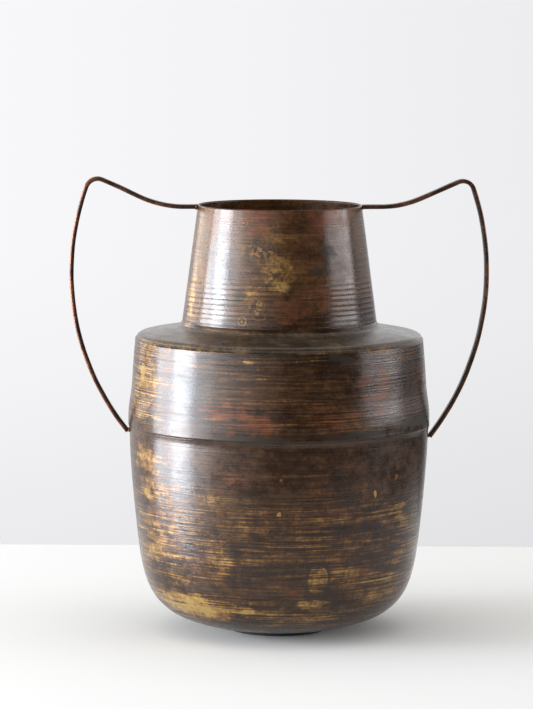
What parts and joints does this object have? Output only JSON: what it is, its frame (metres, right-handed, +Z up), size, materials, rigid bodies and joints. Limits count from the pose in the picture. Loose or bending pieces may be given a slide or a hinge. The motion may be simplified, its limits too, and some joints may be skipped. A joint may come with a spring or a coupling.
{
  "type": "urn vase",
  "caption": "Open-mouthed urn vase of spun sheet metal with a conical neck, a round-bottomed belly and tall bowed strap handles.",
  "frame": {"origin": "on the vase's axis, at the underside of the pad that it stands on", "axes": "+Z up along the vase's axis, X through both handles, +Y away from the viewer"},
  "size_m": [0.325, 0.234, 0.3521],
  "materials": {
    "shell_metal": "dark brown patina over turned and brushed sheet",
    "bar_metal": "dark brown patina on flat bar",
    "braze": "copper-coloured braze, as flowed",
    "pad_rubber": "matt black"
  },
  "bodies": {
    "root": {"base_pad": "pad_rubber", "lower_bowl": "shell_metal", "upper_wall": "shell_metal", "shoulder_cap": "shell_metal", "neck_cone": "shell_metal", "waist_braze": "braze", "shoulder_braze": "braze", "neck_braze": "braze", "handle_left": "bar_metal", "handle_right": "bar_metal", "left_rim_bead": "braze", "left_waist_bead": "braze", "right_rim_bead": "braze", "right_waist_bead": "braze"}
  },
  "joints": []
}
